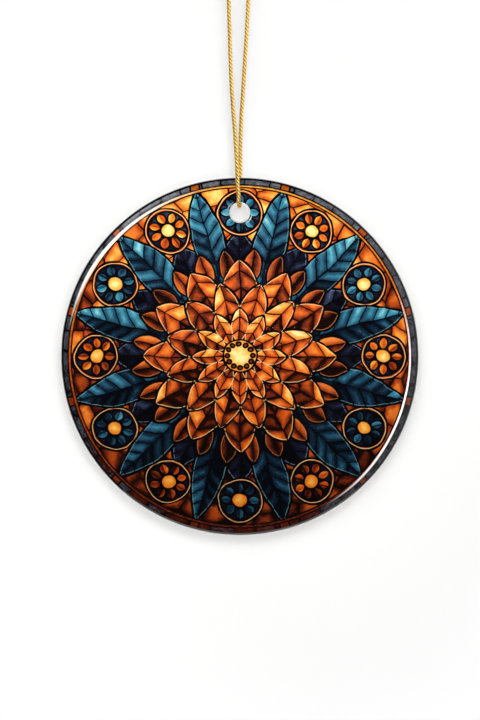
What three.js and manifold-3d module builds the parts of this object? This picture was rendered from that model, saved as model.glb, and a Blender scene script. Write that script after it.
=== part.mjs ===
// A round glazed ceramic ornament hanging on a loop of gold cord, in millimetres, with +Z up.
// The origin is the inside top of the loop, where a hook carries it. The printed face looks towards -Y.
import * as THREE from 'three';
import { mergeVertices } from 'three/addons/utils/BufferGeometryUtils.js';
import Module from 'manifold-3d';

const wasm = await Module();
wasm.setup();

// Driving dimensions of the ceramic disc
const disc_diameter = 71;
const disc_thickness = 3;
const front_roll_width = 2.4;
const front_roll_depth = 1.2;
const back_roll_width = 1.3;
const back_roll_depth = 0.9;
const coat_thickness = 0.2;

// Driving dimensions of the cord's hole
const hole_diameter = 3.6;
const hole_edge_distance = 7;
const hole_rounding = 0.8;

// Driving dimensions of the cord
const cord_diameter = 0.9;
const loop_drop = 68;
const loop_bow = 2.3;
const bend_radius = 1.8;
const strand_spacing = 1.24;
const strand_rise = 1.6;
const knot_width = 3.8;
const knot_depth = 2.9;
const knot_height = 3.8;
const left_tail_length = 9;
const right_tail_length = 7.6;
const tail_spread = 2.6;

// Gap between pieces that lie against each other, and how far a cutter overruns what it cuts
const seat_gap = 0.3;
const cut_overrun = 0.5;

// How finely round things are divided
const disc_segments = 84;
const hole_segments = 36;
const roll_steps = 5;
const rounding_steps = 4;
const cord_sides = 8;
const bight_steps = 56;
const bend_steps = 4;
const strand_steps = 22;
const tail_steps = 5;
const knot_segments = 20;
const knot_rings = 12;

const disc_radius = disc_diameter / 2;
const half_thickness = disc_thickness / 2;
const hole_radius = hole_diameter / 2;
const cord_radius = cord_diameter / 2;

// The cord lies against the top of the hole, and its legs stand off both faces by the same gap
const pivot_above_hole = hole_radius - seat_gap - cord_radius;
const leg_stand_off = half_thickness + seat_gap + cord_radius;
const pivot_z = -loop_drop;
const hole_z = pivot_z - pivot_above_hole;
const disc_z = hole_z - (disc_radius - hole_edge_distance);

const white_ceramic = new THREE.MeshStandardMaterial({ color: 0xf4f3ef, roughness: 0.22, metalness: 0 });
const printed_glaze = new THREE.MeshStandardMaterial({ color: 0xb5611c, roughness: 0.12, metalness: 0 });
const gold_cord = new THREE.MeshStandardMaterial({ color: 0xd8b060, roughness: 0.42, metalness: 0.55 });

const group = new THREE.Group();

function add(name, geometry, material, x = 0, y = 0, z = 0) {
  const mesh = new THREE.Mesh(geometry, material);
  mesh.name = name;
  mesh.position.set(x, y, z);
  group.add(mesh);
}

// Points on a quarter ellipse, from the end of one half axis to the end of the other
function quarter(centre_r, centre_y, axis_r, axis_y, steps) {
  return Array.from({ length: steps + 1 }, (_, i) => {
    const turn = (i / steps) * Math.PI / 2;
    return new THREE.Vector2(centre_r + axis_r * Math.sin(turn), centre_y + axis_y * Math.cos(turn));
  });
}

// The disc's outline is turned about its own axis, which lies along Y. The front face rolls over to the
// rim on a quarter ellipse, and the print coat is a thin cap that follows the face and the roll.
const roll_r = disc_radius - front_roll_width;
const shoulder_y = front_roll_depth - half_thickness;
const coat_outside = quarter(roll_r, shoulder_y, front_roll_width, -front_roll_depth, roll_steps);
const coat_inside = quarter(
  roll_r, shoulder_y, front_roll_width - coat_thickness, coat_thickness - front_roll_depth, roll_steps,
);
const back_edge = quarter(
  disc_radius - back_roll_width, half_thickness - back_roll_depth, back_roll_width, back_roll_depth, roll_steps,
).reverse();

const body_profile = [
  new THREE.Vector2(0, coat_thickness - half_thickness),
  ...coat_inside,
  new THREE.Vector2(disc_radius, shoulder_y),
  ...back_edge,
  new THREE.Vector2(0, half_thickness),
];
const coat_profile = [
  new THREE.Vector2(0, -half_thickness),
  ...coat_outside,
  ...coat_inside.slice().reverse(),
  new THREE.Vector2(0, coat_thickness - half_thickness),
];

// The hole's cutter is a spool: a straight bore that flares into a rounded edge at both faces
const flare_radius = hole_radius + hole_rounding;
const flare_y = half_thickness - hole_rounding;
const overrun_y = half_thickness + cut_overrun;
const front_flare = quarter(flare_radius, -flare_y, -hole_rounding, -hole_rounding, rounding_steps);
const back_flare = quarter(flare_radius, flare_y, -hole_rounding, hole_rounding, rounding_steps).reverse();
const cutter_profile = [
  new THREE.Vector2(0, -overrun_y),
  new THREE.Vector2(flare_radius, -overrun_y),
  ...front_flare,
  ...back_flare,
  new THREE.Vector2(flare_radius, overrun_y),
  new THREE.Vector2(0, overrun_y),
];

// A closed geometry as a solid that can be cut: merged corners, without the slivers at the poles
function solid(geometry) {
  const bare = geometry.clone();
  bare.deleteAttribute('normal');
  bare.deleteAttribute('uv');
  const merged = mergeVertices(bare);
  const index = merged.index.array;
  const corners = [];
  for (let i = 0; i < index.length; i += 3) {
    const [a, b, c] = [index[i], index[i + 1], index[i + 2]];
    if (a !== b && b !== c && c !== a) corners.push(a, b, c);
  }
  return new wasm.Manifold(new wasm.Mesh({
    numProp: 3,
    vertProperties: merged.attributes.position.array,
    triVerts: new Uint32Array(corners),
  }));
}

function geometry_of(manifold) {
  const mesh = manifold.getMesh();
  const geometry = new THREE.BufferGeometry();
  geometry.setAttribute('position', new THREE.BufferAttribute(mesh.vertProperties, 3));
  geometry.setIndex(new THREE.BufferAttribute(mesh.triVerts, 1));
  geometry.computeVertexNormals();
  return geometry;
}

const hole_cutter = solid(
  new THREE.LatheGeometry(cutter_profile, hole_segments).translate(0, 0, hole_z - disc_z),
);

function drilled(profile) {
  return geometry_of(solid(new THREE.LatheGeometry(profile, disc_segments)).subtract(hole_cutter));
}

add('ceramic_disc', drilled(body_profile), white_ceramic, 0, 0, disc_z);
add('printed_coat', drilled(coat_profile), printed_glaze, 0, 0, disc_z);

// The cord is one length of twisted gold cord. Its route is given by hand: x is a share of the loop's
// bow, y a share of the legs' stand-off from the disc's middle, and height a share of the loop's drop,
// counted up from the cord's centre in the hole.
function routed(shares) {
  return shares.map(([x, y, height]) => new THREE.Vector3(
    x * loop_bow, y * leg_stand_off, pivot_z + height * loop_drop,
  ));
}

const section = new THREE.Shape(Array.from({ length: cord_sides }, (_, i) => {
  const turn = ((i + 1 / 2) / cord_sides) * Math.PI * 2;
  return new THREE.Vector2(Math.cos(turn), Math.sin(turn)).multiplyScalar(cord_radius);
}));

function cord(points, steps) {
  const path = new THREE.CatmullRomCurve3(points, false, 'centripetal');
  return new THREE.ExtrudeGeometry(section, { steps, extrudePath: path });
}

// The bight runs down the front, through the hole and up the back, and rocks with the disc
const front_leg_shares = [
  [-0.17, -0.99, 0.065], [-0.3, -0.95, 0.125], [-0.43, -0.89, 0.2], [-0.57, -0.83, 0.27],
  [-0.69, -0.78, 0.34], [-0.76, -0.74, 0.39],
];
const back_leg_shares = [
  [0.07, 0.99, 0.065], [0.08, 0.95, 0.125], [0.1, 0.89, 0.2], [0.17, 0.83, 0.27],
  [0.28, 0.78, 0.34], [0.37, 0.74, 0.39],
];
const front_foot_share = -0.07;
const back_foot_share = 0.05;

// One corner of the bight: a quarter turn between the leg's foot, on one face, and the hole
function bend(side, x) {
  return quarter(
    leg_stand_off - bend_radius, pivot_z + bend_radius, bend_radius, -bend_radius, bend_steps,
  ).map((p) => new THREE.Vector3(x, side * p.x, p.y));
}

const bight_route = [
  ...routed(front_leg_shares).reverse(),
  ...bend(-1, front_foot_share * loop_bow).reverse(),
  ...bend(1, back_foot_share * loop_bow),
  ...routed(back_leg_shares),
];
add('cord_bight', cord(bight_route, bight_steps), gold_cord);

// Above the bight each strand bows out sideways, draws in to the middle, and enters the knot beside
// the other one. Its first point is the bight's last one, moved up by the gap between the two pieces.
const front_strand_shares = [
  [-0.87, -0.67, 0.5], [-0.97, -0.54, 0.63], [-1, -0.4, 0.75], [-0.92, -0.26, 0.85],
  [-0.68, -0.14, 0.93], [-0.42, -0.05, 0.975],
];
const back_strand_shares = [
  [0.57, 0.67, 0.5], [0.77, 0.54, 0.63], [0.9, 0.4, 0.75], [0.86, 0.26, 0.85],
  [0.65, 0.14, 0.93], [0.41, 0.05, 0.975],
];

function strand(name, leg_shares, strand_shares, side) {
  const foot = routed(leg_shares).at(-1).add(new THREE.Vector3(0, 0, seat_gap));
  const neck = new THREE.Vector3(side * strand_spacing / 2, 0, 0);
  const top = neck.clone().setZ(strand_rise);
  add(name, cord([foot, ...routed(strand_shares), neck, top], strand_steps), gold_cord);
}

strand('cord_front_strand', front_leg_shares, front_strand_shares, -1);
strand('cord_back_strand', back_leg_shares, back_strand_shares, 1);

// The knot is an overhand knot in both strands together: a barrel with the swell of its wraps
const knot_wraps = 2;
const knot_end_share = 0.55;
const wrap_swell_share = 0.07;
const barrel_power = 4;
const knot_base_z = strand_rise + seat_gap;

const knot_profile = Array.from({ length: knot_rings + 1 }, (_, i) => {
  const along = (2 * i) / knot_rings - 1;
  const barrel = knot_end_share + (1 - knot_end_share) * Math.sqrt(1 - along ** barrel_power);
  const swell = wrap_swell_share * (1 + Math.cos(along * knot_wraps * Math.PI * 2)) / 2;
  return new THREE.Vector2((barrel - swell) * knot_width / 2, (i / knot_rings) * knot_height);
});
const knot_points = [
  new THREE.Vector2(0, 0),
  ...knot_profile,
  new THREE.Vector2(0, knot_height),
];
const knot = new THREE.LatheGeometry(knot_points, knot_segments)
  .rotateX(Math.PI / 2)
  .scale(1, knot_depth / knot_width, 1);
add('cord_knot', knot, gold_cord, 0, 0, knot_base_z);

// Two short tails stand up out of the knot and lean apart. Each point is a share of the tail's spread
// and of its length.
const tail_shares = [[0, 0], [0.22, 0.34], [0.56, 0.68], [1, 1]];
const tail_base_z = knot_base_z + knot_height + seat_gap;

function tail(name, side, length) {
  const points = tail_shares.map(([out, up]) => new THREE.Vector3(
    side * (strand_spacing / 2 + out * tail_spread), 0, tail_base_z + up * length,
  ));
  add(name, cord(points, tail_steps), gold_cord);
}

tail('cord_tail_left', -1, left_tail_length);
tail('cord_tail_right', 1, right_tail_length);

export default group;
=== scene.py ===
# A flat round glazed ceramic ornament with a leaded-glass style print, hanging on a gold cord loop.
# Metres, +Z up, origin at the inside top of the loop. The printed face looks towards -Y.
from math import cos, pi, radians, sin, sqrt

import bpy
import numpy as np
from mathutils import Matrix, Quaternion, Vector


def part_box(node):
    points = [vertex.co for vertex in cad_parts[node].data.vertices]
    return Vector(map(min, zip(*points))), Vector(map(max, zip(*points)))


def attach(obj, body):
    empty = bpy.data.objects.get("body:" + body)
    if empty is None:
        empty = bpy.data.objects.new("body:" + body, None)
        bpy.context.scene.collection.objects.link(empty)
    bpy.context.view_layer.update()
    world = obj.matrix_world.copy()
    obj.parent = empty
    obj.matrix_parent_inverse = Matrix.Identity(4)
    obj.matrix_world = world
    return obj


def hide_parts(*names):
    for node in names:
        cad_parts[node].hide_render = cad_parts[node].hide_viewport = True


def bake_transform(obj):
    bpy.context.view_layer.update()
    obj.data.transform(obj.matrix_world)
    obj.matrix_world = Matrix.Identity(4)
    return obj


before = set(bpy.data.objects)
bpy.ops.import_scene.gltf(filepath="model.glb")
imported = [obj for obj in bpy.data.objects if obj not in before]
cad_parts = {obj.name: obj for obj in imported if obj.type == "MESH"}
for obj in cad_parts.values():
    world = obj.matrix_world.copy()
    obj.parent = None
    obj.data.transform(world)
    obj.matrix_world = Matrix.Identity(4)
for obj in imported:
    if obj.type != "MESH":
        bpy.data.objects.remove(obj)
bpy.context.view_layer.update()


# Camera
# It looks straight at the printed face from just over a metre, so that the 480 by 720 picture spans
# the same width of the disc's plane as the photograph does.
MM = 0.001
CAMERA_DISTANCE = 1.1
CLIP_END = 20
SENSOR_HEIGHT_MM = 24
PHOTO_HEIGHT_PX = 720
PHOTO_MIDDLE_PX = Vector((240, 360))
PHOTO_DISC_PX = 358
PHOTO_DISC_CENTRE_PX = Vector((239.8, 356.4))

disc_low, disc_high = (Vector(corner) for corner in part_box("ceramic_disc"))
disc_centre = (disc_low + disc_high) / 2
disc_radius = (disc_high.x - disc_low.x) / 2
metres_per_px = 2 * disc_radius / PHOTO_DISC_PX
shift = (PHOTO_MIDDLE_PX - PHOTO_DISC_CENTRE_PX) * metres_per_px


def add_object(name, data):
    made = bpy.data.objects.new(name, data)
    bpy.context.scene.collection.objects.link(made)
    return made


camera_data = bpy.data.cameras.new("Camera")
camera_data.sensor_fit = "VERTICAL"
camera_data.sensor_height = SENSOR_HEIGHT_MM
camera_data.lens = SENSOR_HEIGHT_MM * CAMERA_DISTANCE / (PHOTO_HEIGHT_PX * metres_per_px)
camera_data.clip_end = CLIP_END
camera = add_object("Camera", camera_data)
camera.location = (disc_centre.x + shift.x, -CAMERA_DISTANCE, disc_centre.z - shift.y)
camera.rotation_euler = (pi / 2, 0, 0)
bpy.context.scene.camera = camera


# Gold cord
# One length of thin metallic cord, three plies laid up left-handed, each ply a yarn wrapped in gold
# film. It runs down the front of the disc, through the hole and up the back, and both ends are tied
# together in an overhand knot above.
CORD_RADIUS = 0.432 * MM
PLIES = 3
PLY_RADIUS = CORD_RADIUS / (1 + 2 / sqrt(3))
PLY_OFFSET = CORD_RADIUS - PLY_RADIUS
PLY_SIDES = 10
LAY = 2.3 * MM
LOOP_DROP = 68 * MM
LOOP_BOW = 2.3 * MM
LEG_STAND_OFF = 2.25 * MM
BEND_RADIUS = 1.8 * MM
BEND_STEPS = 4
HOLE_LIFT = 0.29 * MM
STRAND_SPACING = 1.24 * MM
KNOT_BASE = 1.9 * MM
PATH_STEP = 0.11 * MM
SPAN_SAMPLES = 40
PIVOT_Z = -LOOP_DROP

# The route is given in shares of the loop's bow, of the legs' stand-off and of its drop
FRONT_LEG = [
    (-0.175, -0.99, 0.065), (-0.255, -0.95, 0.125), (-0.38, -0.89, 0.2), (-0.55, -0.83, 0.27),
    (-0.69, -0.78, 0.34), (-0.76, -0.74, 0.39),
]
BACK_LEG = [
    (0.04, 0.99, 0.065), (0.045, 0.95, 0.125), (0.06, 0.89, 0.2), (0.14, 0.83, 0.27),
    (0.28, 0.78, 0.34), (0.37, 0.74, 0.39),
]
FRONT_STRAND = [
    (-0.87, -0.67, 0.5), (-0.97, -0.54, 0.63), (-1, -0.4, 0.75), (-0.92, -0.26, 0.85),
    (-0.68, -0.14, 0.93), (-0.42, -0.05, 0.975),
]
BACK_STRAND = [
    (0.57, 0.67, 0.5), (0.77, 0.54, 0.63), (0.9, 0.4, 0.75), (0.86, 0.26, 0.85),
    (0.65, 0.14, 0.93), (0.41, 0.05, 0.975),
]
FRONT_FOOT_SHARE = -0.1
BACK_FOOT_SHARE = 0.02
HOLE_SHARE = -0.04


def routed(shares):
    return [
        Vector((x * LOOP_BOW, y * LEG_STAND_OFF, PIVOT_Z + height * LOOP_DROP))
        for x, y, height in shares
    ]


def bend(side, foot_share):
    """A quarter turn from a leg's foot into the hole, where the cord lies against its top."""
    points = []
    for turn in np.linspace(0, pi / 2, BEND_STEPS + 1):
        x = (HOLE_SHARE + (foot_share - HOLE_SHARE) * sin(turn)) * LOOP_BOW
        y = LEG_STAND_OFF - BEND_RADIUS * (1 - sin(turn))
        z = PIVOT_Z + HOLE_LIFT + BEND_RADIUS * (1 - cos(turn))
        points.append(Vector((x, side * y, z)))
    return points


def smooth_path(points):
    """The centripetal Catmull-Rom curve through the points, in even steps, as an array."""
    ends = [2 * points[0] - points[1]] + points + [2 * points[-1] - points[-2]]
    fine = []
    for a, b, c, d in zip(ends, ends[1:], ends[2:], ends[3:]):
        t1 = sqrt((b - a).length)
        t2 = t1 + sqrt((c - b).length)
        t3 = t2 + sqrt((d - c).length)
        for t in np.linspace(t1, t2, SPAN_SAMPLES, endpoint=False):
            p = a.lerp(b, t / t1)
            q = b.lerp(c, (t - t1) / (t2 - t1))
            r = c.lerp(d, (t - t2) / (t3 - t2))
            u = p.lerp(q, t / t2)
            v = q.lerp(r, (t - t1) / (t3 - t1))
            fine.append(u.lerp(v, (t - t1) / (t2 - t1)))
    fine = np.array(fine + [points[-1]])
    run = np.r_[0, np.cumsum(np.linalg.norm(np.diff(fine, axis=0), axis=1))]
    even = np.linspace(0, run[-1], int(round(run[-1] / PATH_STEP)) + 1)
    return np.array([np.interp(even, run, fine[:, axis]) for axis in range(3)]).T


def path_length(path):
    return float(np.linalg.norm(np.diff(path, axis=0), axis=1).sum())


def path_frames(path):
    """Two unit vectors across the path at each point, carried along it without twist."""
    tangents = np.gradient(path, axis=0)
    tangents /= np.linalg.norm(tangents, axis=1)[:, None]
    side = np.array([1.0, 0.0, 0.0])
    sides = []
    for tangent in tangents:
        side = side - tangent * (side @ tangent)
        side = side / np.linalg.norm(side)
        sides.append(side)
    sides = np.array(sides)
    return sides, np.cross(tangents, sides)


class Net:
    """The nodes of one tree, with short ways to lay them and wire them up."""

    def __init__(self, tree):
        self.tree = tree

    def wire(self, node, values):
        """Sets the node's inputs, or links those for which a socket is given."""
        for key, value in dict(values).items():
            if isinstance(value, bpy.types.NodeSocket):
                self.tree.links.new(value, node.inputs[key])
            else:
                node.inputs[key].default_value = value
        return node.outputs

    def put(self, kind, values=(), **settings):
        """The outputs of a new node with these settings and inputs."""
        node = self.tree.nodes.new(kind)
        for key, value in settings.items():
            setattr(node, key, value)
        return self.wire(node, values)

    def do(self, operation, *values, clamp=False):
        """A sum on numbers."""
        inputs = enumerate(values)
        return self.put("ShaderNodeMath", inputs, operation=operation, use_clamp=clamp)[0]

    def scaled(self, value, gain, base=0.0, clamp=False):
        return self.do("MULTIPLY_ADD", value, gain, base, clamp=clamp)

    def sum_of(self, base, *parts):
        """The base and each part times its gain, added up."""
        for value, gain in parts:
            base = self.scaled(value, gain, base)
        return base

    def vector(self, operation, *values):
        """A sum on vectors."""
        inputs = zip((0, "Scale" if operation == "SCALE" else 1), values)
        made = self.put("ShaderNodeVectorMath", inputs, operation=operation)
        return made["Value" if operation in ("LENGTH", "DISTANCE") else "Vector"]

    def split(self, vector):
        return self.put("ShaderNodeSeparateXYZ", {"Vector": vector})

    def noise(self, place, scale, detail, roughness=0.5, dimensions="3D"):
        inputs = {"Vector": place, "Scale": scale, "Detail": detail, "Roughness": roughness}
        return self.put("ShaderNodeTexNoise", inputs, noise_dimensions=dimensions)

    def mix(self, share, below, above):
        """One colour laid over another, as far as the share says."""
        inputs = {"Factor": share, 6: below, 7: above}
        return self.put("ShaderNodeMix", inputs, data_type="RGBA")[2]

    def ramp(self, tone, stops):
        """The colour of a tone, read off between the stops."""
        node = self.tree.nodes.new("ShaderNodeValToRGB")
        elements = node.color_ramp.elements
        for place, colour in stops[1:-1]:
            elements.new(place)
        for element, (place, colour) in zip(elements, stops):
            element.position = place
            element.color = srgb(*colour)
        return self.wire(node, {"Fac": tone})["Color"]


def srgb(*channels):
    """Linear colour for sRGB values from 0 to 255."""
    lin = [c / 255 / 12.92 if c <= 10 else ((c / 255 + 0.055) / 1.055) ** 2.4 for c in channels]
    return (*lin, 1)


def new_group(name, kind, inputs, outputs):
    """A node group with named sockets, each given by its default number or by its type in a word."""
    tree = bpy.data.node_groups.new(name, kind)
    for direction, sockets in (("INPUT", inputs), ("OUTPUT", outputs)):
        for label, value in sockets.items():
            word = value if isinstance(value, str) else type(value).__name__.capitalize()
            made = tree.interface.new_socket(
                label, in_out=direction, socket_type=f"NodeSocket{word}"
            )
            if not isinstance(value, str):
                made.default_value = value
    net = Net(tree)
    return net, net.put("NodeGroupInput")


def new_material(name):
    material = bpy.data.materials.new(name)
    material.use_nodes = True
    net = Net(material.node_tree)
    return material, net, net.tree.nodes["Principled BSDF"]


def cord_tree():
    """Winds the plies round a path whose points carry side and rise vectors, run and open values."""
    net, given = new_group(
        "Twisted cord",
        "GeometryNodeTree",
        {
            "Path": "Geometry",
            "Plies": PLIES,
            "Ply radius": PLY_RADIUS,
            "Ply offset": PLY_OFFSET,
            "Lay": LAY,
            "Material": "Material",
        },
        {"Cord": "Geometry"},
    )

    def carried(name, kind="FLOAT"):
        return net.put("GeometryNodeInputNamedAttribute", {"Name": name}, data_type=kind)["Attribute"]

    def stored(geometry, name, value, kind="FLOAT_VECTOR"):
        inputs = {"Geometry": geometry, "Name": name, "Value": value}
        made = net.put("GeometryNodeStoreNamedAttribute", inputs, data_type=kind, domain="POINT")
        return made["Geometry"]

    line = net.put("GeometryNodeMeshToCurve", {"Mesh": given["Path"]})
    copies = net.put(
        "GeometryNodeDuplicateElements",
        {"Geometry": line["Curve"], "Amount": given["Plies"]},
        domain="SPLINE",
    )
    along = net.do("DIVIDE", carried("run"), given["Lay"])
    turns = net.do("ADD", along, net.do("DIVIDE", copies["Duplicate Index"], given["Plies"]))
    angle = net.do("MULTIPLY", turns, -2 * pi)
    reach = net.do("MULTIPLY", given["Ply offset"], carried("open"))
    offsets = []
    for name, wave in (("side", "COSINE"), ("rise", "SINE")):
        share = net.do("MULTIPLY", net.do(wave, angle), reach)
        offsets.append(net.vector("SCALE", carried(name, "FLOAT_VECTOR"), share))
    here = net.put("GeometryNodeInputPosition")["Position"]
    centred = stored(copies["Geometry"], "centre", here)
    offset = net.vector("ADD", *offsets)
    plies = net.put("GeometryNodeSetPosition", {"Geometry": centred, "Offset": offset})
    circle = net.put(
        "GeometryNodeCurvePrimitiveCircle", {"Resolution": PLY_SIDES, "Radius": given["Ply radius"]}
    )
    profile = stored(circle["Curve"], "around", net.vector("NORMALIZE", here))
    tubes = net.put(
        "GeometryNodeCurveToMesh",
        {"Curve": plies["Geometry"], "Profile Curve": profile, "Fill Caps": True},
    )
    # how far out from the cord's middle each point lies, which the gold material turns into painted
    # groove shade
    outer = net.do("ADD", given["Ply offset"], given["Ply radius"])
    from_centre = net.vector("DISTANCE", here, carried("centre", "FLOAT_VECTOR"))
    crowned = stored(tubes["Mesh"], "groove_shade", net.do("DIVIDE", from_centre, outer), "FLOAT")
    whole = net.put("GeometryNodeRealizeInstances", {"Geometry": crowned})
    finished = net.put(
        "GeometryNodeSetMaterial", {"Geometry": whole["Geometry"], "Material": given["Material"]}
    )
    net.put("NodeGroupOutput", {"Cord": finished["Geometry"]})
    return net.tree


GOLD_TONES = [(0.15, (104, 62, 10)), (0.5, (228, 174, 70)), (0.85, (255, 230, 146))]
WORN_GOLD = (196, 148, 60)
GOLD_TINT = (206, 146, 62)
FILM_WRAP = 0.11 * MM
FILM_RELIEF = 0.02 * MM
GLINT_SIZE = 0.5 * MM
WORN_SIZE = 4 * MM
GROOVE_SHADE_START = 0.7
GROOVE_SHADE_GAIN = 3.0


def gold_cord_material():
    """Gold film wrapped round each ply, with painted shade in the grooves between the plies and fine
    lines of the wrap.
    """
    material, net, shader = new_material("Gold metallic cord")

    def carried(name, output="Fac"):
        return net.put("ShaderNodeAttribute", attribute_name=name)[output]

    around = net.split(carried("around", "Vector"))
    angle = net.do("ARCTAN2", around["Y"], around["X"])
    phase = net.do("ADD", angle, net.do("MULTIPLY", carried("run"), 2 * pi / FILM_WRAP))
    wrap = net.scaled(net.do("SINE", phase), gain=0.5, base=0.5)
    where = net.put("ShaderNodeTexCoord")["Object"]
    glint = net.noise(where, 1 / GLINT_SIZE, detail=2.0, roughness=0.6)["Fac"]
    worn = net.noise(where, 1 / WORN_SIZE, detail=1.0)["Fac"]
    # painted shade: each ply is darker down its sides into the grooves between the plies, lighter on
    # its crown
    above_groove = net.do("SUBTRACT", carried("groove_shade"), GROOVE_SHADE_START)
    groove_shade = net.scaled(above_groove, GROOVE_SHADE_GAIN, clamp=True)
    tone = net.sum_of(0.0, (wrap, 0.1), (glint, 0.28), (groove_shade, 0.7))
    colour = net.mix(net.scaled(worn, gain=0.25), net.ramp(tone, GOLD_TONES), srgb(*WORN_GOLD))
    film = net.put("ShaderNodeBump", {"Strength": 0.35, "Distance": FILM_RELIEF, "Height": wrap})
    net.wire(
        shader,
        {
            "Base Color": colour,
            "Roughness": net.scaled(glint, gain=0.2, base=0.22),
            "Metallic": 0.85,
            "Specular Tint": srgb(*GOLD_TINT),
            "Anisotropic": 0.3,
            "Normal": film["Normal"],
        },
    )
    return material


gold = gold_cord_material()
winding = cord_tree()
SHARPEST_SMOOTH_CORD = radians(60)


def path_mesh(name, strands):
    """Loose edges along each strand's path, with what the winding needs on their points."""
    paths, *columns = zip(*strands)
    points = np.concatenate(paths)
    starts = np.cumsum([len(path) for path in paths])
    edges = [(i, i + 1) for i in range(len(points) - 1) if i + 1 not in starts]
    mesh = bpy.data.meshes.new(name)
    mesh.from_pydata(points.tolist(), edges, [])
    for label, values in zip(("side", "rise", "run", "open"), columns):
        values = np.concatenate(values).astype(np.float32)
        kind, field = ("FLOAT_VECTOR", "vector") if values.ndim == 2 else ("FLOAT", "value")
        attribute = mesh.attributes.new(label, kind, "POINT")
        attribute.data.foreach_set(field, values.ravel())
    return mesh


def wound_cord(name, strands):
    """The finished mesh of strands, each given as its path, sides, rises, run and opening."""
    holder = add_object(name + "_path", path_mesh(name + "_path", strands))
    modifier = holder.modifiers.new("Winding", "NODES")
    modifier.node_group = winding
    for item in winding.interface.items_tree:
        if item.in_out == "INPUT" and item.name == "Material":
            modifier[item.identifier] = gold
    seen = holder.evaluated_get(bpy.context.evaluated_depsgraph_get())
    mesh = bpy.data.meshes.new_from_object(seen)
    mesh.name = name
    holder.modifiers.remove(modifier)
    bpy.data.objects.remove(holder)
    mesh.shade_smooth()
    mesh.set_sharp_from_angle(angle=SHARPEST_SMOOTH_CORD)
    return add_object(name, mesh)


front_top = Vector((-STRAND_SPACING / 2, 0, 0))
back_top = Vector((STRAND_SPACING / 2, 0, 0))
under_front_wrap = Vector((0.1 * MM, 0, KNOT_BASE + 0.4 * MM))
under_back_wrap = Vector((-0.12 * MM, 0, KNOT_BASE + 1.3 * MM))
loop = smooth_path(
    [front_top + under_front_wrap, front_top]
    + routed(FRONT_STRAND)[::-1]
    + routed(FRONT_LEG)[::-1]
    + bend(-1, FRONT_FOOT_SHARE)[::-1]
    + bend(1, BACK_FOOT_SHARE)
    + routed(BACK_LEG)
    + routed(BACK_STRAND)
    + [back_top, back_top + under_back_wrap]
)
loop_sides, loop_rises = path_frames(loop)
loop_run = np.arange(len(loop)) * path_length(loop) / (len(loop) - 1)
seam_z = PIVOT_Z + FRONT_LEG[-1][2] * LOOP_DROP
foot = int(np.argmin(loop[:, 2]))
front_seam = int(np.argmin(abs(loop[:foot, 2] - seam_z)))
back_seam = foot + int(np.argmin(abs(loop[foot:, 2] - seam_z)))
loop_end = len(loop) - 1


def loop_stretch(name, first, last):
    part = slice(first, last + 1)
    closed = np.ones(last + 1 - first)
    strand = (loop[part], loop_sides[part], loop_rises[part], loop_run[part], closed)
    return wound_cord(name, [strand])


gold_front = loop_stretch("gold_front_strand", 0, front_seam)
gold_bight = loop_stretch("gold_bight", front_seam, back_seam)
gold_back = loop_stretch("gold_back_strand", back_seam, loop_end)

# The real loop twists between the knot and the seam, and tips with the disc between the seam and its
# rim. Here the stretches only take the place of their hidden parts, attached to no body.
for piece, node in ((gold_front, "cord_front_strand"), (gold_back, "cord_back_strand")):
    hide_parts(node)
    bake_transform(piece)
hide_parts("cord_bight")
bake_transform(gold_bight)


# Knot
# Both strands go up through the middle of the knot together, over its top, once round it side by
# side, and up through the middle again. Their cut ends stand up above it, slightly unlaid.
KNOT_HEIGHT = 3.8 * MM
CORE_RADIUS = 0.55 * MM
WRAP_RADIUS = 1.42 * MM
WRAP_STEP = 1.84 * MM
WRAP_TOP = 3.2 * MM
WRAP_START = 245
WRAP_TURN = 33
WRAP_POINTS = 11
TAIL_SPREAD = 2.6 * MM
LEFT_TAIL_LENGTH = 9 * MM
RIGHT_TAIL_LENGTH = 7.6 * MM
TAIL_OPEN = 1.5
TAIL_OPEN_LENGTH = 1.2 * MM
TAIL_SHARES = [(0, 0), (0.22, 0.34), (0.56, 0.68), (1, 1)]


def polar(radius, degrees, height):
    turn = radians(degrees)
    return Vector((radius * cos(turn), radius * sin(turn), KNOT_BASE + height))


def knot_strand(side, drop, tail_length):
    """One strand through the knot, its wrap lowered by the drop, and out to its cut end."""
    # its points are set one by one, so that the strands touch and don't cross
    beside = side * STRAND_SPACING / 2
    top = WRAP_TOP - drop
    up_the_core = [
        Vector((beside, 0, KNOT_BASE)),
        polar(CORE_RADIUS, 175 - 40 * drop / WRAP_STEP, top * 0.5),
        polar(CORE_RADIUS * 1.5, 205, top - 0.1 * MM),
    ]
    wrap = [
        polar(WRAP_RADIUS, WRAP_START + turn, top - WRAP_STEP * turn / 360)
        for turn in range(0, WRAP_TURN * WRAP_POINTS, WRAP_TURN)
    ]
    back_up_the_core = [
        polar(CORE_RADIUS * 1.6, 255, top - WRAP_STEP * 0.97),
        polar(CORE_RADIUS, -30 * side, top * 0.75),
    ]
    tail = [
        Vector((beside + side * out * TAIL_SPREAD, 0, KNOT_BASE + KNOT_HEIGHT + rise * tail_length))
        for out, rise in TAIL_SHARES
    ]
    path = smooth_path(up_the_core + wrap + back_up_the_core + tail)
    run = np.arange(len(path)) * PATH_STEP
    frayed = np.clip(1 - (run[-1] - run) / TAIL_OPEN_LENGTH, 0, 1)
    return path, *path_frames(path), run, 1 + (TAIL_OPEN - 1) * frayed**2


gold_knot = wound_cord(
    "gold_knot",
    [knot_strand(-1, 0, LEFT_TAIL_LENGTH), knot_strand(1, WRAP_STEP / 2, RIGHT_TAIL_LENGTH)],
)
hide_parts("cord_knot", "cord_tail_left", "cord_tail_right")
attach(gold_knot, "knot")


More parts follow.
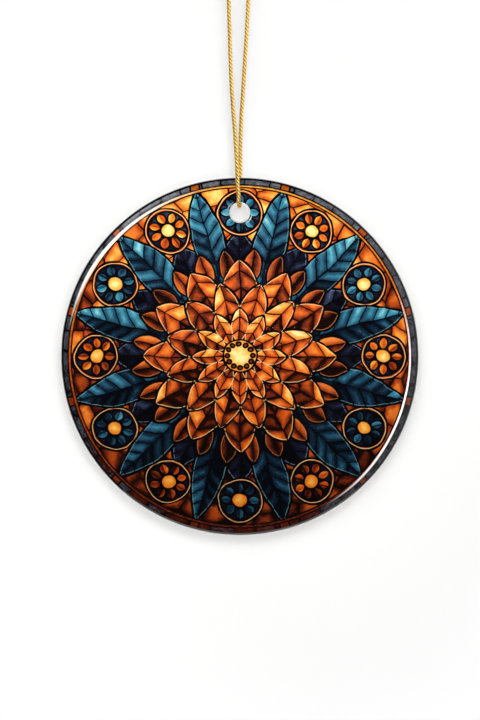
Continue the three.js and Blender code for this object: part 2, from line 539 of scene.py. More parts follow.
# Ceramic disc
# A pressed and fired white blank, glazed all over: flat faces, a front edge that rolls over to the
# rim, a rounder back edge, and one hole with softened edges.
DISC_THICKNESS = 3 * MM
FRONT_ROLL_WIDTH = 2.4 * MM
FRONT_ROLL_DEPTH = 1.2 * MM
BACK_ROLL_WIDTH = 1.3 * MM
BACK_ROLL_DEPTH = 0.9 * MM
COAT_THICKNESS = 0.2 * MM
HOLE_RADIUS = 1.8 * MM
HOLE_ROUNDING = 0.8 * MM
HOLE_FROM_EDGE = 7 * MM
GUARD = 0.12 * MM
ROUND_SEGMENTS = 288
ROLL_RINGS = 18
ROUNDING_RINGS = 9
SHARPEST_SMOOTH_DISC = radians(35)

disc_z = disc_centre.z
hole_z = disc_high.z - HOLE_FROM_EDGE
back_y = DISC_THICKNESS / 2
front_y = -back_y
coated_y = front_y + COAT_THICKNESS
roll_radius = disc_radius - FRONT_ROLL_WIDTH
shoulder_y = front_y + FRONT_ROLL_DEPTH
back_roll_radius = disc_radius - BACK_ROLL_WIDTH
flare_radius = HOLE_RADIUS + HOLE_ROUNDING
flare_y = back_y - HOLE_ROUNDING
# how far round the hole's rounding the coat ends, as a share of a quarter turn
coat_end = np.arccos((HOLE_ROUNDING - COAT_THICKNESS) / HOLE_ROUNDING) / (pi / 2)
coat_hole_radius = flare_radius - HOLE_ROUNDING * sin(coat_end * pi / 2)


def quarter_rings(centre_z, radius, y, wide, deep, count, start=0, end=1):
    """Rings on a quarter ellipse: deep from y at its start, and wide from the radius at its end."""
    return [
        (centre_z, radius + wide * sin(turn * pi / 2), y + deep * cos(turn * pi / 2))
        for turn in np.linspace(start, end, count + 1)
    ]


def lofted_rings(name, rings):
    """A closed skin through circles that lie across Y, the last one joined to the first."""
    turns = np.arange(ROUND_SEGMENTS) * 2 * pi / ROUND_SEGMENTS
    points = [
        (radius * cos(turn), y, centre_z + radius * sin(turn))
        for centre_z, radius, y in rings
        for turn in turns
    ]
    faces = []
    for i in range(len(rings)):
        here, there = i * ROUND_SEGMENTS, (i + 1) % len(rings) * ROUND_SEGMENTS
        for j in range(ROUND_SEGMENTS):
            k = (j + 1) % ROUND_SEGMENTS
            faces.append((here + j, here + k, there + k, there + j))
    mesh = bpy.data.meshes.new(name)
    mesh.from_pydata(points, [], faces)
    mesh.validate()
    mesh.shade_smooth()
    mesh.set_sharp_from_angle(angle=SHARPEST_SMOOTH_DISC)
    return add_object(name, mesh)


front_flare = (hole_z, flare_radius, -flare_y, -HOLE_ROUNDING, -HOLE_ROUNDING)
under_coat = [(hole_z, coat_hole_radius + GUARD, coated_y), (disc_z, roll_radius - GUARD, coated_y)]
under_coat += quarter_rings(
    disc_z,
    roll_radius,
    shoulder_y,
    FRONT_ROLL_WIDTH - COAT_THICKNESS,
    COAT_THICKNESS - FRONT_ROLL_DEPTH,
    ROLL_RINGS,
)
blank = lofted_rings(
    "glazed_blank",
    quarter_rings(*front_flare, ROUNDING_RINGS, start=1, end=coat_end)
    + under_coat
    + [(disc_z, disc_radius, shoulder_y)]
    + quarter_rings(
        disc_z, back_roll_radius, back_y - BACK_ROLL_DEPTH, BACK_ROLL_WIDTH, BACK_ROLL_DEPTH, ROLL_RINGS
    )[::-1]
    + [(disc_z, back_roll_radius - GUARD, back_y), (hole_z, flare_radius + GUARD, back_y)]
    + quarter_rings(hole_z, flare_radius, flare_y, -HOLE_ROUNDING, HOLE_ROUNDING, ROUNDING_RINGS),
)

GLAZE_LIGHT = (246, 245, 241)
GLAZE_DEEP = (234, 232, 226)
PINHOLE_COLOUR = (150, 140, 128)
GLAZE_CLOUD_SIZE = 14 * MM
GLAZE_RIPPLE_SIZE = 1.6 * MM
GLAZE_RELIEF = 0.05 * MM
PINHOLE_SPACING = 4.5 * MM
PINHOLE_SHARE = 0.035


def glazed_blank_material():
    """White glaze: warm white, faintly uneven, with the ripple and few pinholes of a fired coat."""
    material, net, shader = new_material("White glazed ceramic")
    where = net.put("ShaderNodeTexCoord")["Object"]
    clouds = net.noise(where, 1 / GLAZE_CLOUD_SIZE, detail=3.0)["Fac"]
    ripple = net.noise(where, 1 / GLAZE_RIPPLE_SIZE, detail=2.0)["Fac"]
    cells = net.put("ShaderNodeTexVoronoi", {"Vector": where, "Scale": 1 / PINHOLE_SPACING})
    pinhole = net.do("LESS_THAN", cells["Distance"], PINHOLE_SHARE)
    tint = net.mix(clouds, srgb(*GLAZE_LIGHT), srgb(*GLAZE_DEEP))
    height = net.do("SUBTRACT", ripple, net.scaled(pinhole, gain=0.8))
    bump = net.put("ShaderNodeBump", {"Strength": 0.12, "Distance": GLAZE_RELIEF, "Height": height})
    net.wire(
        shader,
        {
            "Base Color": net.mix(net.scaled(pinhole, gain=0.25), tint, srgb(*PINHOLE_COLOUR)),
            "Roughness": net.scaled(clouds, gain=0.12, base=0.14),
            "Coat Weight": 0.6,
            "Coat Roughness": 0.06,
            "Normal": bump["Normal"],
        },
    )
    return material


blank.data.materials.append(glazed_blank_material())
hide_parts("ceramic_disc")
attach(blank, "disc")


# Print coat
# The glossy coat that holds the print: a thin skin over the face and the rolled front edge. Its
# outer edge and the edge at the hole stop just short, so a hair of white glaze shows there.
COAT_FLARE_RINGS = 4
coat = lofted_rings(
    "printed_glaze_coat",
    quarter_rings(*front_flare, COAT_FLARE_RINGS, start=coat_end, end=0)
    + [(hole_z, flare_radius + GUARD, front_y), (disc_z, roll_radius - GUARD, front_y)]
    + quarter_rings(disc_z, roll_radius, shoulder_y, FRONT_ROLL_WIDTH, -FRONT_ROLL_DEPTH, ROLL_RINGS)
    + under_coat[::-1],
)

# The design is a rose window, measured in millimetres from the disc's middle. Its light comes from
# the upper left, and every edge of a printed line is a little soft.
LIGHT_TURN = radians(115)
LINE_SOFTNESS = 0.07
LEAD_BLACK = srgb(5, 3, 6)
LEAD_WIDTH = 0.19
LEAD_VARIATION = 0.4
VEIN_SHARE = 0.6
GLEAM_GAP = 0.1
GLEAM_WIDTH = 0.12
PANE_ROUNDING = 1.2


def soft_step(net, value):
    """0 where the value is below zero and 1 where it is above, soft over the edge of a line."""
    return net.scaled(value, 1 / LINE_SOFTNESS, 0.5, clamp=True)


def point(net, x, y, z=0.0):
    return net.put("ShaderNodeCombineXYZ", {"X": x, "Y": y, "Z": z})["Vector"]


def sector_fold():
    """Folds a round design into equal sectors, each seen along and across its middle line."""
    net, given = new_group(
        "Sector fold",
        "ShaderNodeTree",
        {"Position": "Vector", "Count": 12.0, "Turn": 90.0},
        {"Along": "Float", "Across": "Float", "Sector": "Float", "Lit": "Float"},
    )
    place = net.split(given["Position"])
    turn = net.do("RADIANS", given["Turn"])
    pitch = net.do("DIVIDE", 2 * pi, given["Count"])
    angle = net.do("SUBTRACT", net.do("ARCTAN2", place["Y"], place["X"]), turn)
    sector = net.do("ROUND", net.do("DIVIDE", angle, pitch))
    off = net.do("SUBTRACT", angle, net.do("MULTIPLY", sector, pitch))
    radius = net.vector("LENGTH", given["Position"])
    across = net.do("MULTIPLY", radius, net.do("SINE", off))
    # which side of the middle line the light falls on
    towards_light = net.do("SUBTRACT", LIGHT_TURN, net.scaled(sector, pitch, turn))
    folded = {
        "Along": net.do("MULTIPLY", radius, net.do("COSINE", off)),
        "Across": across,
        "Sector": net.do("FLOORED_MODULO", sector, given["Count"]),
        "Lit": net.do("MULTIPLY", net.do("SINE", towards_light), net.do("SIGN", across)),
    }
    net.put("NodeGroupOutput", folded)
    return net.tree


def almond():
    """Signed distance to a pointed oval between two places on the middle line, negative inside."""
    net, given = new_group(
        "Almond",
        "ShaderNodeTree",
        {"Along": 0.0, "Across": 0.0, "Start": 0.0, "End": 10.0, "Half width": 2.0},
        {"Distance": "Float"},
    )
    width = given["Half width"]
    middle = net.scaled(net.do("ADD", given["Start"], given["End"]), gain=0.5)
    reach = net.do("SUBTRACT", given["End"], middle)
    squares = net.scaled(reach, reach, net.do("MULTIPLY", width, width))
    arc = net.do("DIVIDE", squares, net.scaled(width, gain=2.0))
    along = net.do("SUBTRACT", given["Along"], middle)
    across = net.do("ADD", net.do("ABSOLUTE", given["Across"]), net.do("SUBTRACT", arc, width))
    distance = net.do("SUBTRACT", net.vector("LENGTH", point(net, along, across)), arc)
    net.put("NodeGroupOutput", {"Distance": distance})
    return net.tree


def vein_panes():
    """Cuts a leaf into two rows of panes by its midrib and by slanting veins."""
    net, given = new_group(
        "Vein panes",
        "ShaderNodeTree",
        {"Along": 0.0, "Across": 0.0, "Sector": 0.0, "Spacing": 3.0, "Slope": 0.8},
        {"Edge": "Float", "Random": "Float"},
    )
    slope, spacing = given["Slope"], given["Spacing"]
    across = net.do("ABSOLUTE", given["Across"])
    slanted = net.do("SUBTRACT", given["Along"], net.do("MULTIPLY", across, slope))
    place = net.do("DIVIDE", slanted, spacing)
    cell = net.do("FLOOR", place)
    part = net.do("SUBTRACT", place, cell)
    near = net.do("MULTIPLY", net.do("MINIMUM", part, net.do("SUBTRACT", 1.0, part)), spacing)
    near = net.do("DIVIDE", near, net.do("SQRT", net.scaled(slope, slope, 1.0)))
    seed = point(net, cell, net.do("SIGN", given["Across"]), given["Sector"])
    random = net.put("ShaderNodeTexWhiteNoise", {"Vector": seed}, noise_dimensions="3D")["Value"]
    net.put("NodeGroupOutput", {"Edge": net.do("MINIMUM", near, across), "Random": random})
    return net.tree


def glass_tone():
    """How light a pane is: by chance, by its lit side, by streaks, and darker against its leads."""
    net, given = new_group(
        "Glass tone",
        "ShaderNodeTree",
        {"Level": 0.5, "Random": 0.5, "Lit": 0.0, "Edge": 1.0, "Streak": 0.5, "Height": 0.0},
        {"Tone": "Float"},
    )
    edge = {"Value": given["Edge"], "From Min": 0.0, "From Max": PANE_ROUNDING}
    edge |= {"To Min": -0.26, "To Max": 0.07}
    rounded = net.put("ShaderNodeMapRange", edge, interpolation_type="SMOOTHSTEP")["Result"]
    tone = net.do("ADD", given["Level"], rounded)
    for label, usual, gain in (
        ("Random", 0.5, 0.44), ("Lit", 0.0, 0.17), ("Streak", 0.5, 0.6), ("Height", 0.0, 0.16),
    ):
        tone = net.scaled(net.do("SUBTRACT", given[label], usual), gain, tone)
    net.put("NodeGroupOutput", {"Tone": net.do("MAXIMUM", net.do("MINIMUM", tone, 1.0), 0.0)})
    return net.tree


def leaded():
    """A shape of glass over what is below it, in a black lead with a fine light line inside."""
    net, given = new_group(
        "Leaded shape",
        "ShaderNodeTree",
        {
            "Below": "Color",
            "Glass": "Color",
            "Gleam": "Color",
            "Gleam amount": 0.0,
            "Distance": 0.0,
            "Edge": 1.0,
            "Lead": 0.3,
            "Vein": 0.16,
        },
        {"Color": "Color"},
    )

    def line(distance, width):
        return soft_step(net, net.do("SUBTRACT", net.scaled(width, gain=0.5), distance))

    depth = net.scaled(given["Distance"], gain=-1.0)
    gleam_at = net.scaled(given["Lead"], 0.5, GLEAM_GAP)
    gleam = line(net.do("ABSOLUTE", net.do("SUBTRACT", depth, gleam_at)), GLEAM_WIDTH)
    gleam = net.do("MULTIPLY", gleam, given["Gleam amount"])
    glass = net.mix(gleam, given["Glass"], given["Gleam"])
    glass = net.mix(line(given["Edge"], given["Vein"]), glass, LEAD_BLACK)
    shape = net.mix(soft_step(net, depth), given["Below"], glass)
    outline = line(net.do("ABSOLUTE", given["Distance"]), given["Lead"])
    net.put("NodeGroupOutput", {"Color": net.mix(outline, shape, LEAD_BLACK)})
    return net.tree


# Glass colours, from a pane's darkest tone to its lightest
AMBER = [(0, (22, 6, 3)), (0.25, (96, 32, 8)), (0.48, (190, 76, 14)), (0.68, (236, 130, 34)),
         (0.86, (252, 184, 76)), (1, (255, 222, 130))]
SUN = [(0, (24, 6, 2)), (0.25, (112, 36, 6)), (0.48, (212, 84, 10)), (0.7, (246, 142, 28)),
       (0.88, (255, 200, 80)), (1, (255, 240, 160))]
TEAL = [(0, (3, 8, 18)), (0.3, (16, 44, 68)), (0.54, (34, 96, 128)), (0.78, (62, 156, 188)),
        (1, (150, 218, 228))]
NIGHT = [(0, (4, 4, 10)), (0.35, (20, 24, 46)), (0.62, (44, 58, 88)), (0.84, (80, 108, 144)),
         (1, (142, 176, 204))]
SLATE = [(0, (22, 21, 26)), (0.5, (80, 82, 92)), (1, (150, 152, 158))]
GOLD_GLEAM = (255, 226, 150)
PETAL_GLEAM = (255, 232, 150)
SCALE_GLEAM = (214, 140, 70)
TEAL_GLEAM = (120, 186, 205)
NIGHT_GLEAM = (120, 160, 200)
PICTURE_WARMTH = (1.1, 0.99, 0.9)

# Each wobble of the drawing hand: its size and its reach
WOBBLES = [(8, 1.1), (1.7, 0.16)]

# Amber field
FIELD_RADIUS = 28
FIELD_PANE_LENGTH = 4.2
FIELD_PANE_HEIGHT = 3.1
FIELD_EDGE = 3.4
WELL_INSIDE = -5.0

# Leaves and petals: from where to where along a sector's middle line, and their veins
NIGHT_LEAF = dict(start=8, end=25.5, half_width=4.0, spacing=2.4, slope=0.9)
TEAL_LEAF = dict(start=12, end=34.2, half_width=3.4, spacing=2.7, slope=0.85)
OUTER_PETAL = dict(start=6, end=19.4, half_width=3.5, spacing=3.4, slope=-0.7)
MIDDLE_PETAL = dict(start=3.5, end=15.2, half_width=2.7, spacing=2.9, slope=-0.7)
INNER_PETAL = dict(start=2.5, end=9.6, half_width=1.75, spacing=2.6, slope=-0.7)
COLLAR_SCALE = dict(start=14.5, end=21.6, half_width=1.75)
CORE_RADIUS_MM = 3.3
SEED_AT = 2.45
SEED_RADIUS = 0.42

# Round panes, the top one of which has the hole as its middle
ROUND_PANE_AT = (disc_radius - HOLE_FROM_EDGE) / MM
ROUND_PANE_RADIUS = 4.5
ROUND_PANE_INSIDE = 3.85
ROUND_PANE_PETAL = dict(start=1.5, end=3.75, half_width=0.82)
PETALS_IN_PANE = 8
BEAD_RADIUS = 1.45

# Border: the radius from which each ring is laid over the one before
BORDER = [
    (33.26, LEAD_BLACK),
    (33.54, "gold"),
    (33.84, LEAD_BLACK),
    (34.12, "slate"),
    (34.94, LEAD_BLACK),
    (35.38, srgb(238, 236, 230)),
]
BORDER_PIECES = 48
BORDER_PIECE_LENGTH = 4.6
JOINT_HALF_WIDTH = 0.175
TIP_BLOCK_HALF_WIDTH = 0.7
TIP_BLOCK_WITH_JOINTS = 1.05


def print_material():
    """The printed rose window in amber, teal and slate, under a hard clear gloss coat."""
    material, net, shader = new_material("Printed gloss coat")
    do, scaled, sum_of, ramp = net.do, net.scaled, net.sum_of, net.ramp
    groups = {make.__name__: make() for make in (sector_fold, almond, vein_panes, glass_tone, leaded)}

    def use(name, **values):
        inputs = {key.replace("_", " ").capitalize(): value for key, value in values.items()}
        return net.put("ShaderNodeGroup", inputs, node_tree=groups[name])

    # the place on the design, drawn with a slightly unsteady hand
    upright = {
        "Vector": net.put("ShaderNodeTexCoord")["Object"],
        "Location": (0, -disc_z / MM, 0),
        "Rotation": (-pi / 2, 0, 0),
        "Scale": (1 / MM, 1 / MM, 1 / MM),
    }
    flat = net.put("ShaderNodeMapping", upright)["Vector"]
    place = flat
    for size, reach in WOBBLES:
        sway = net.noise(flat, 1 / size, detail=1.0, dimensions="2D")["Color"]
        centred = net.vector("SUBTRACT", sway, (0.5, 0.5, 0.5))
        place = net.vector("ADD", place, net.vector("SCALE", centred, reach))
    place = net.vector("MULTIPLY", place, (1, 1, 0))
    parts = net.split(place)
    height = do("DIVIDE", parts["Y"], disc_radius / MM)
    radius = net.vector("LENGTH", place)
    turn = do("ARCTAN2", parts["Y"], parts["X"])
    streak = net.noise(place, 0.55, detail=5.0, roughness=0.62)["Fac"]
    inking = net.noise(place, 0.4, detail=1.0, dimensions="2D")["Fac"]
    lead = scaled(inking, LEAD_VARIATION, LEAD_WIDTH)
    vein = scaled(lead, VEIN_SHARE)

    def chance(number):
        return net.put("ShaderNodeTexWhiteNoise", {"W": number}, noise_dimensions="1D")["Value"]

    def tone(level, random=0.5, lit=0.0, edge=1.0):
        shade = use(
            "glass_tone", level=level, random=random, lit=lit, edge=edge, streak=streak, height=height
        )
        return shade["Tone"]

    def shape(glass, distance, edge=1.0, gleam=GOLD_GLEAM, amount=0.0, thick=1.0):
        """The picture so far with one more shape of leaded glass on it."""
        laid = use(
            "leaded",
            below=picture,
            glass=glass,
            gleam=srgb(*gleam),
            gleam_amount=amount,
            distance=distance,
            edge=edge,
            lead=scaled(lead, thick),
            vein=vein,
        )
        return laid["Color"]

    def oval(fold, start, end, half_width):
        line = {"along": fold["Along"], "across": fold["Across"]}
        return use("almond", **line, start=start, end=end, half_width=half_width)["Distance"]

    def leaf(fold, row, start, end, half_width, spacing, slope):
        """The distance to a leaf's outline, and the panes that its veins cut it into."""
        line = {"along": fold["Along"], "across": fold["Across"]}
        sector = do("ADD", fold["Sector"], float(row))
        panes = use("vein_panes", **line, sector=sector, spacing=spacing, slope=slope)
        return oval(fold, start, end, half_width), panes

    # amber field: small panes set round the circle, lighter above and browner below
    around = scaled(turn, FIELD_RADIUS / FIELD_PANE_LENGTH)
    rolled = point(net, around, do("DIVIDE", radius, FIELD_PANE_HEIGHT))
    grid = {"Vector": rolled, "Scale": 1.0, "Randomness": 0.75}
    cells, borders = (
        net.put("ShaderNodeTexVoronoi", grid, voronoi_dimensions="2D", feature=feature)
        for feature in ("F1", "DISTANCE_TO_EDGE")
    )
    field_chance = net.put("ShaderNodeSeparateColor", {"Color": cells["Color"]})["Red"]
    field_edge = scaled(borders["Distance"], FIELD_EDGE)
    field_tone = tone(scaled(height, gain=0.14, base=0.5), field_chance, edge=field_edge)
    picture = srgb(0, 0, 0)
    picture = shape(ramp(field_tone, AMBER), WELL_INSIDE, field_edge)

    # twelve night-blue leaves behind, between the round panes
    top = use("sector_fold", position=place, count=12, turn=90)
    side = use("sector_fold", position=place, count=12, turn=75)
    outline, panes = leaf(top, 0, **NIGHT_LEAF)
    shade = tone(0.33, panes["Random"], top["Lit"], panes["Edge"])
    picture = shape(ramp(shade, NIGHT), outline, panes["Edge"], NIGHT_GLEAM, amount=0.5)

    # twelve round panes near the rim, each a small flower; the hole is the middle of the top one
    spot = point(net, do("SUBTRACT", top["Along"], ROUND_PANE_AT), top["Across"])
    away = net.vector("LENGTH", spot)
    picture = shape(ramp(tone(0.36), AMBER), do("SUBTRACT", away, ROUND_PANE_RADIUS), amount=0.8)
    flower = use("sector_fold", position=spot, count=PETALS_IN_PANE, turn=0)
    petal_chance = chance(scaled(top["Sector"], float(PETALS_IN_PANE), flower["Sector"]))
    inside = ramp(tone(0.2, petal_chance), NIGHT)
    picture = shape(inside, do("SUBTRACT", away, ROUND_PANE_INSIDE))
    shade = tone(0.62, petal_chance, flower["Lit"], do("ABSOLUTE", flower["Across"]))
    every_other = do("FLOORED_MODULO", top["Sector"], 2.0)
    petals = net.mix(every_other, ramp(shade, TEAL), ramp(shade, SUN))
    picture = shape(petals, oval(flower, **ROUND_PANE_PETAL), edge=2.0, thick=0.8)
    bead = ramp(tone(scaled(away, gain=-0.22, base=0.98)), SUN)
    picture = shape(bead, do("SUBTRACT", away, BEAD_RADIUS))

    # twelve broad teal leaves that reach the border between them
    outline, panes = leaf(side, 0, **TEAL_LEAF)
    shade = sum_of(0.03, (height, 0.12), (side["Along"], 0.016))
    shade = tone(shade, panes["Random"], side["Lit"], panes["Edge"])
    picture = shape(ramp(shade, TEAL), outline, panes["Edge"], TEAL_GLEAM, amount=0.5, thick=1.15)

    # a collar of small amber scales, then the sun flower: three rows of petals and a beaded middle
    many = use("sector_fold", position=place, count=24, turn=82.5)
    ridge = do("ABSOLUTE", many["Across"])
    shade = ramp(tone(0.3, chance(many["Sector"]), many["Lit"], ridge), AMBER)
    picture = shape(shade, oval(many, **COLLAR_SCALE), ridge, SCALE_GLEAM, amount=0.5)
    for fold, petal, base, gain in (
        (top, OUTER_PETAL, 0.02, 0.03),
        (side, MIDDLE_PETAL, 0.12, 0.038),
        (top, INNER_PETAL, 0.36, 0.05),
    ):
        outline, panes = leaf(fold, petal["start"], **petal)
        shade = scaled(fold["Along"], gain, base)
        shade = tone(shade, panes["Random"], fold["Lit"], panes["Edge"])
        picture = shape(ramp(shade, SUN), outline, panes["Edge"], PETAL_GLEAM, amount=0.7)
    core = ramp(tone(scaled(radius, gain=-0.1, base=1.02)), SUN)
    picture = shape(core, do("SUBTRACT", radius, CORE_RADIUS_MM))
    spot = point(net, do("SUBTRACT", top["Along"], SEED_AT), top["Across"])
    away = net.vector("LENGTH", spot)
    picture = shape(ramp(0.3, AMBER), do("SUBTRACT", away, SEED_RADIUS))

    # the whole picture is lighter above than below
    picture = net.vector("MULTIPLY", picture, PICTURE_WARMTH)
    picture = net.vector("SCALE", picture, scaled(height, gain=0.36, base=0.98))

    # leaded border: black, a gold line, black, slate pieces with short joints, black
    hatch = net.noise(rolled, 6.0, detail=3.0)["Fac"]
    pieces = scaled(inking, 0.6, scaled(turn, BORDER_PIECES / (2 * pi)))
    from_middle = do("ABSOLUTE", do("SUBTRACT", do("FRACT", pieces), 0.5))
    from_joint = do("SUBTRACT", 0.5, from_middle)
    joint = soft_step(net, scaled(from_joint, -BORDER_PIECE_LENGTH, JOINT_HALF_WIDTH))
    piece_chance = chance(do("FLOOR", pieces))
    rounded = scaled(from_joint, gain=3.5, clamp=True)
    slate = sum_of(-0.53, (hatch, 1.1), (height, 0.3), (rounded, 0.2), (piece_chance, 0.25))
    low_down = scaled(scaled(piece_chance, 0.5, height), gain=-2.5, base=-0.9, clamp=True)
    # a brown block at each teal leaf's tip, between two black joints
    from_tip = do("ABSOLUTE", side["Across"])
    beside_tip = soft_step(net, do("SUBTRACT", TIP_BLOCK_WITH_JOINTS, from_tip))
    at_tip = soft_step(net, do("SUBTRACT", TIP_BLOCK_HALF_WIDTH, from_tip))
    brown = ramp(scaled(slate, gain=0.35, base=0.12), AMBER)
    block = ramp(sum_of(0.16, (hatch, 0.4), (height, 0.16)), AMBER)
    stone = net.mix(low_down, ramp(slate, SLATE), brown)
    stone = net.mix(joint, stone, LEAD_BLACK)
    stone = net.mix(beside_tip, stone, LEAD_BLACK)
    stone = net.mix(at_tip, stone, block)
    materials = {"slate": stone, "gold": ramp(sum_of(0.2, (hatch, 0.6), (height, 0.34)), AMBER)}
    steady = net.vector("LENGTH", net.vector("MULTIPLY", flat, (1, 1, 0)))
    for reach, colour in BORDER:
        mask = soft_step(net, do("SUBTRACT", steady, reach))
        picture = net.mix(mask, picture, materials.get(colour, colour))

    ripple = net.noise(flat, 0.35, detail=1.0)["Fac"]
    bump = net.put("ShaderNodeBump", {"Strength": 0.05, "Distance": 0.1 * MM, "Height": ripple})
    net.wire(
        shader,
        {
            "Base Color": picture,
            "Roughness": 0.5,
            "Specular IOR Level": 0.0,
            "Coat Weight": 1.0,
            "Coat IOR": 1.8,
            "Coat Roughness": 0.05,
            "Normal": bump["Normal"],
            "Coat Normal": bump["Normal"],
        },
    )
    return material


coat.data.materials.append(print_material())
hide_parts("printed_coat")
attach(coat, "disc")


# Studio
# A pale wall behind the ornament, a pale floor below the picture, and soft lamps. The front lamps
# light the printed face, and the two soft boxes are what its gloss lines show.
WALL_Y = 38 * MM
WALL_HALF_WIDTH = 320 * MM
WALL_TOP = 150 * MM
FLOOR_DROP = 400 * MM
FLOOR_HALF_WIDTH = 380 * MM
FLOOR_FRONT = 170 * MM
PAPER_WHITE = (0.86, 0.86, 0.86, 1)
WALL_LIFT = 0
FLOOR_LIFT = 0.23
LIFT_GROWTH = 11.0
MOST_LIFT_GROWTH = 0.1
floor_z = disc_low.z - FLOOR_DROP


def studio_material(name, lift, one_sided):
    """Matt white paper, lifted a little for the camera so that it clears to white off the disc."""
    material, net, shader = new_material(name)
    net.wire(shader, {"Base Color": PAPER_WHITE, "Roughness": 1, "Specular IOR Level": 0})
    rays = net.put("ShaderNodeLightPath")
    seen = net.do("MAXIMUM", rays["Is Camera Ray"], rays["Is Glossy Ray"])
    # the lift grows with the distance from the disc, as the lamps' light falls off there
    away = net.vector("DISTANCE", net.put("ShaderNodeTexCoord")["Object"], disc_centre)
    grown = net.scaled(net.do("MULTIPLY", away, away), LIFT_GROWTH, lift)
    grown = net.do("MINIMUM", grown, lift + MOST_LIFT_GROWTH)
    glow = net.put("ShaderNodeEmission", {"Strength": net.do("MULTIPLY", seen, grown)})
    paper = net.put("ShaderNodeAddShader", {0: shader.outputs[0], 1: glow[0]})[0]
    if one_sided:
        clear = net.put("ShaderNodeBsdfTransparent")[0]
        back = net.put("ShaderNodeNewGeometry")["Backfacing"]
        paper = net.put("ShaderNodeMixShader", {0: back, 1: paper, 2: clear})[0]
    net.wire(net.tree.nodes["Material Output"], {"Surface": paper})
    return material


def paper_sheet(name, corners, material):
    mesh = bpy.data.meshes.new(name)
    mesh.from_pydata(corners, [], [(0, 1, 2, 3)])
    mesh.materials.append(material)
    sheet = add_object(name, mesh)
    return sheet


wall = paper_sheet(
    "wall",
    [
        (-WALL_HALF_WIDTH, WALL_Y, floor_z),
        (WALL_HALF_WIDTH, WALL_Y, floor_z),
        (WALL_HALF_WIDTH, WALL_Y, WALL_TOP),
        (-WALL_HALF_WIDTH, WALL_Y, WALL_TOP),
    ],
    studio_material("Wall paper", WALL_LIFT, one_sided=True),
)
paper_sheet(
    "floor",
    [
        (-FLOOR_HALF_WIDTH, -FLOOR_FRONT, floor_z),
        (FLOOR_HALF_WIDTH, -FLOOR_FRONT, floor_z),
        (FLOOR_HALF_WIDTH, FLOOR_HALF_WIDTH, floor_z),
        (-FLOOR_HALF_WIDTH, FLOOR_HALF_WIDTH, floor_z),
    ],
    studio_material("Floor paper", FLOOR_LIFT, one_sided=False),
)


def lamp(name, turn, rise, size, power, distance=0.9, tilt=0, diffuse=True, glossy=True):
    """A soft box that faces the disc, turned right of the camera and raised, in degrees."""
    data = bpy.data.lights.new(name, "AREA")
    data.shape = "RECTANGLE"
    data.size, data.size_y = size
    data.energy = power
    # brighter in its middle than at its edges, as a lit cloth is
    data.use_nodes = True
    net = Net(data.node_tree)
    spot = net.split(net.put("ShaderNodeNewGeometry")["Parametric"])
    shares = []
    for axis in "XY":
        share = net.do("MULTIPLY", spot[axis], net.do("SUBTRACT", 1.0, spot[axis]))
        shares.append(net.scaled(share, gain=4.0, clamp=True))
    net.wire(net.tree.nodes["Emission"], {"Strength": net.do("MULTIPLY", *shares)})
    box = add_object(name, data)
    turn, rise = radians(turn), radians(rise)
    way = Vector((sin(turn) * cos(rise), -cos(turn) * cos(rise), sin(rise)))
    box.location = disc_centre + way * distance
    tilted = way.to_track_quat("Z", "Y") @ Quaternion((0, 0, 1), radians(tilt))
    box.rotation_euler = tilted.to_euler()
    box.visible_diffuse = diffuse
    box.visible_glossy = glossy
    box.visible_camera = False
    return box


def collected(name, *things):
    collection = bpy.data.collections.new(name)
    for thing in things:
        collection.objects.link(thing)
    return collection


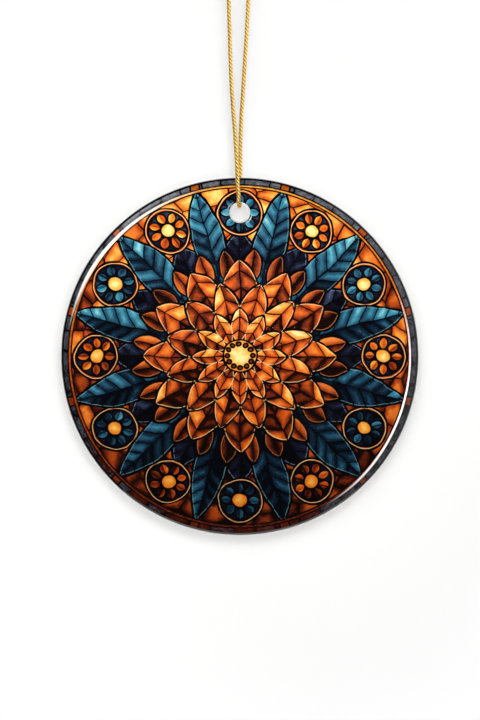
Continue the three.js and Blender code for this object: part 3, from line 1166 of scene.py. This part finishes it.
lamp("front fill", turn=-0.2, rise=0.9, size=(0.3, 0.3), power=4.2, glossy=False)
lamp("middle front lamp", turn=0.2, rise=1.1, size=(0.13, 0.13), power=4.6, glossy=False)
lamp("small front lamp", turn=0.3, rise=1.9, size=(0.05, 0.05), power=2.6, glossy=False)
lamp("left soft box", -21.4, 15.5, (0.46, 0.24), power=6.3, distance=0.8, tilt=9, diffuse=False)
lamp("right strip", turn=19.7, rise=-8.5, size=(0.18, 0.46), power=4.2, distance=0.8, diffuse=False)
lamp("key", turn=-35, rise=40, size=(0.4, 0.4), power=1.2)
lamp("back light", turn=150, rise=35, size=(0.4, 0.4), power=7)
rear_fill = lamp("rear fill", turn=180, rise=8, size=(0.4, 0.4), power=3.6)
cord_light = lamp("cord side light", turn=44, rise=5, size=(0.15, 0.5), power=7, distance=0.6)
wall_lamp = lamp("wall lamp", turn=1.3, rise=1.5, size=(0.07, 0.07), power=3.05, glossy=False)

# The side light is for the cord alone. The wall lamp is for the wall alone, and only the cord shades
# it. The rear fill shines through the wall, so that the ornament's back is lit.
gold_pieces = (gold_front, gold_bight, gold_back, gold_knot)
only_cord = collected("Cord pieces", *gold_pieces)
cord_light.light_linking.receiver_collection = only_cord
wall_lamp.light_linking.receiver_collection = collected("Lit by the wall lamp", wall)
wall_lamp.light_linking.blocker_collection = only_cord
ornament = collected("Shades the rear fill", *gold_pieces, blank, coat)
rear_fill.light_linking.blocker_collection = ornament

world = bpy.data.worlds.new("Studio")
bpy.context.scene.world = world
world.use_nodes = True
sky = Net(world.node_tree)
rays = sky.put("ShaderNodeLightPath")
direction = sky.split(sky.put("ShaderNodeTexCoord")["Generated"])
# what gloss sees: pale behind the ornament, a window far to the right, a dim room elsewhere
behind = sky.scaled(direction["Y"], gain=2.0, base=0.3, clamp=True)
to_the_right = sky.scaled(direction["X"], gain=3.0, base=-1.0, clamp=True)
not_behind = sky.scaled(direction["Y"], gain=-2.0, base=0.8, clamp=True)
window = sky.do("MULTIPLY", to_the_right, not_behind)
around = sky.sum_of(0.015, (window, 0.3), (behind, 0.6))
# the camera sees white, gloss sees that room, and the rest is an even light
seen = sky.do("MAXIMUM", rays["Is Camera Ray"], rays["Is Transmission Ray"])
glossy = sky.do("MULTIPLY", rays["Is Glossy Ray"], around)
unseen = sky.do("SUBTRACT", 1, sky.do("MAXIMUM", seen, rays["Is Glossy Ray"]))
strength = sky.scaled(unseen, 0.28, sky.do("MAXIMUM", seen, glossy))
sky.wire(sky.tree.nodes["Background"], {"Color": (1, 1, 1, 1), "Strength": strength})

bpy.context.scene.view_settings.view_transform = "Standard"
